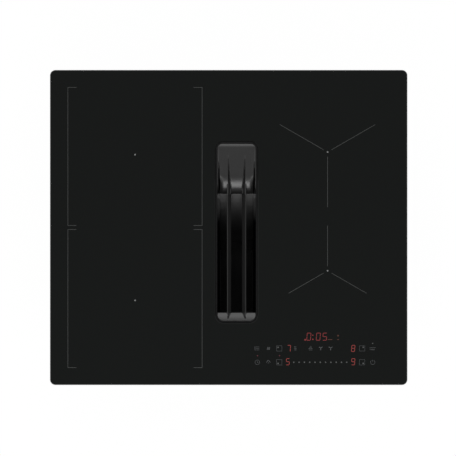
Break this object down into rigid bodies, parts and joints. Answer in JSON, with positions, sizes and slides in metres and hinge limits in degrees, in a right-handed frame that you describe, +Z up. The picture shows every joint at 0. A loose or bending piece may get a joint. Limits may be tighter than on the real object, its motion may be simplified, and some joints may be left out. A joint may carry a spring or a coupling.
{
  "type": "induction cooktop with built-in extractor",
  "caption": "Built-in black glass induction cooktop with a lift-out extractor grille, touch panel, steel tray and a fan scroll with flat-duct outlet underneath.",
  "frame": {"origin": "centre of the glass on the worktop surface, at the underside of the gasket", "axes": "+X to the cook's right, +Y to the rear, +Z up"},
  "size_m": [0.59, 0.52, 0.1955],
  "materials": {
    "black_glass": "polished black glass ceramic",
    "grey_foam": "closed-cell foam tape",
    "galvanised": "spangled galvanised sheet",
    "spring_steel": "blued spring steel",
    "screw_zinc": "zinc plated",
    "black_plastic": "fine spark-eroded black moulding",
    "grey_plastic": "grey moulding",
    "hood_grey": "dark grey satin coating on die casting",
    "filter_black": "black enamel",
    "filter_aluminium": "expanded metal",
    "aluminium_sheet": "mill finish",
    "heat_sink": "extruded",
    "copper_litz": "enamelled litz wire",
    "mica": "mica sheet",
    "ferrite": "sintered ferrite",
    "silicone": "red silicone",
    "rubber_black": "moulded rubber",
    "board_green": "solder mask",
    "display_dark": "smoked filter",
    "cream_plastic": "glass-filled moulding",
    "steel_dark": "electrical steel",
    "shaft_steel": "ground steel"
  },
  "bodies": {
    "hob": {"air_box": "black_plastic", "base_tray": "galvanised", "board_standoffs": "grey_plastic", "cable_gland": "black_plastic", "choke_coils": "copper_litz", "coil_carrier_front_left": "cream_plastic", "coil_carrier_front_right": "cream_plastic", "coil_carrier_rear_left": "cream_plastic", "coil_carrier_rear_right": "cream_plastic", "coil_pads": "silicone", "coil_plate_left": "aluminium_sheet", "coil_plate_right": "aluminium_sheet", "coil_winding_front_left": "copper_litz", "coil_winding_front_right": "copper_litz", "coil_winding_rear_left": "copper_litz", "coil_winding_rear_right": "copper_litz", "collar_seal": "rubber_black", "control_board": "board_green", "cooling_fan_frame_left": "black_plastic", "cooling_fan_frame_right": "black_plastic", "ferrite_bars": "ferrite", "filter_capacitors": "grey_plastic", "frame_screws": "screw_zinc", "glass_frame": "galvanised", "glass_plate": "black_glass", "heat_sink_left": "heat_sink", "heat_sink_right": "heat_sink", "inlet_bellmouth": "grey_plastic", "intake_collar": "black_plastic", "mica_sheets": "mica", "module_screws": "screw_zinc", "motor_bearings": "shaft_steel", "motor_dampers": "rubber_black", "motor_plate": "galvanised", "motor_screws": "screw_zinc", "motor_stator": "steel_dark", "outlet_duct": "black_plastic", "panel_carrier": "black_plastic", "perimeter_gasket": "grey_foam", "power_board_left": "board_green", "power_board_right": "board_green", "power_transistors": "black_plastic", "scroll_housing": "black_plastic", "temperature_sensors": "cream_plastic", "terminal_block": "cream_plastic", "terminal_cover": "black_plastic", "timer_display": "display_dark", "touch_pads": "rubber_black", "worktop_clips": "spring_steel", "zone_displays": "display_dark"},
    "filter": {"filter_frame": "filter_black", "filter_mesh_left": "filter_aluminium", "filter_mesh_right": "filter_aluminium"},
    "grille": {"vent_grille": "hood_grey"},
    "impeller": {"impeller": "grey_plastic", "rotor_cup": "steel_dark", "motor_shaft": "shaft_steel"},
    "cooling_rotor_left": {"cooling_fan_rotor_left": "black_plastic"},
    "cooling_rotor_right": {"cooling_fan_rotor_right": "black_plastic"}
  },
  "joints": [
    {"name": "filter_lift", "type": "slide", "parent": "hob", "child": "filter", "axis": [0, 0, 1], "range_m": [0, 0.15]},
    {"name": "grille_lift", "type": "slide", "parent": "filter", "child": "grille", "axis": [0, 0, 1], "range_m": [0, 0.06]},
    {"name": "impeller_spin", "type": "hinge", "parent": "hob", "child": "impeller", "pos_m": [-0.146, 0.035, -0.15], "axis": [0, 0, 1], "continuous": true},
    {"name": "cooling_fan_left_spin", "type": "hinge", "parent": "hob", "child": "cooling_rotor_left", "pos_m": [-0.1534, -0.188, -0.04], "axis": [0, 0, 1], "continuous": true},
    {"name": "cooling_fan_right_spin", "type": "hinge", "parent": "hob", "child": "cooling_rotor_right", "pos_m": [0.1664, -0.188, -0.04], "axis": [0, 0, 1], "continuous": true}
  ]
}
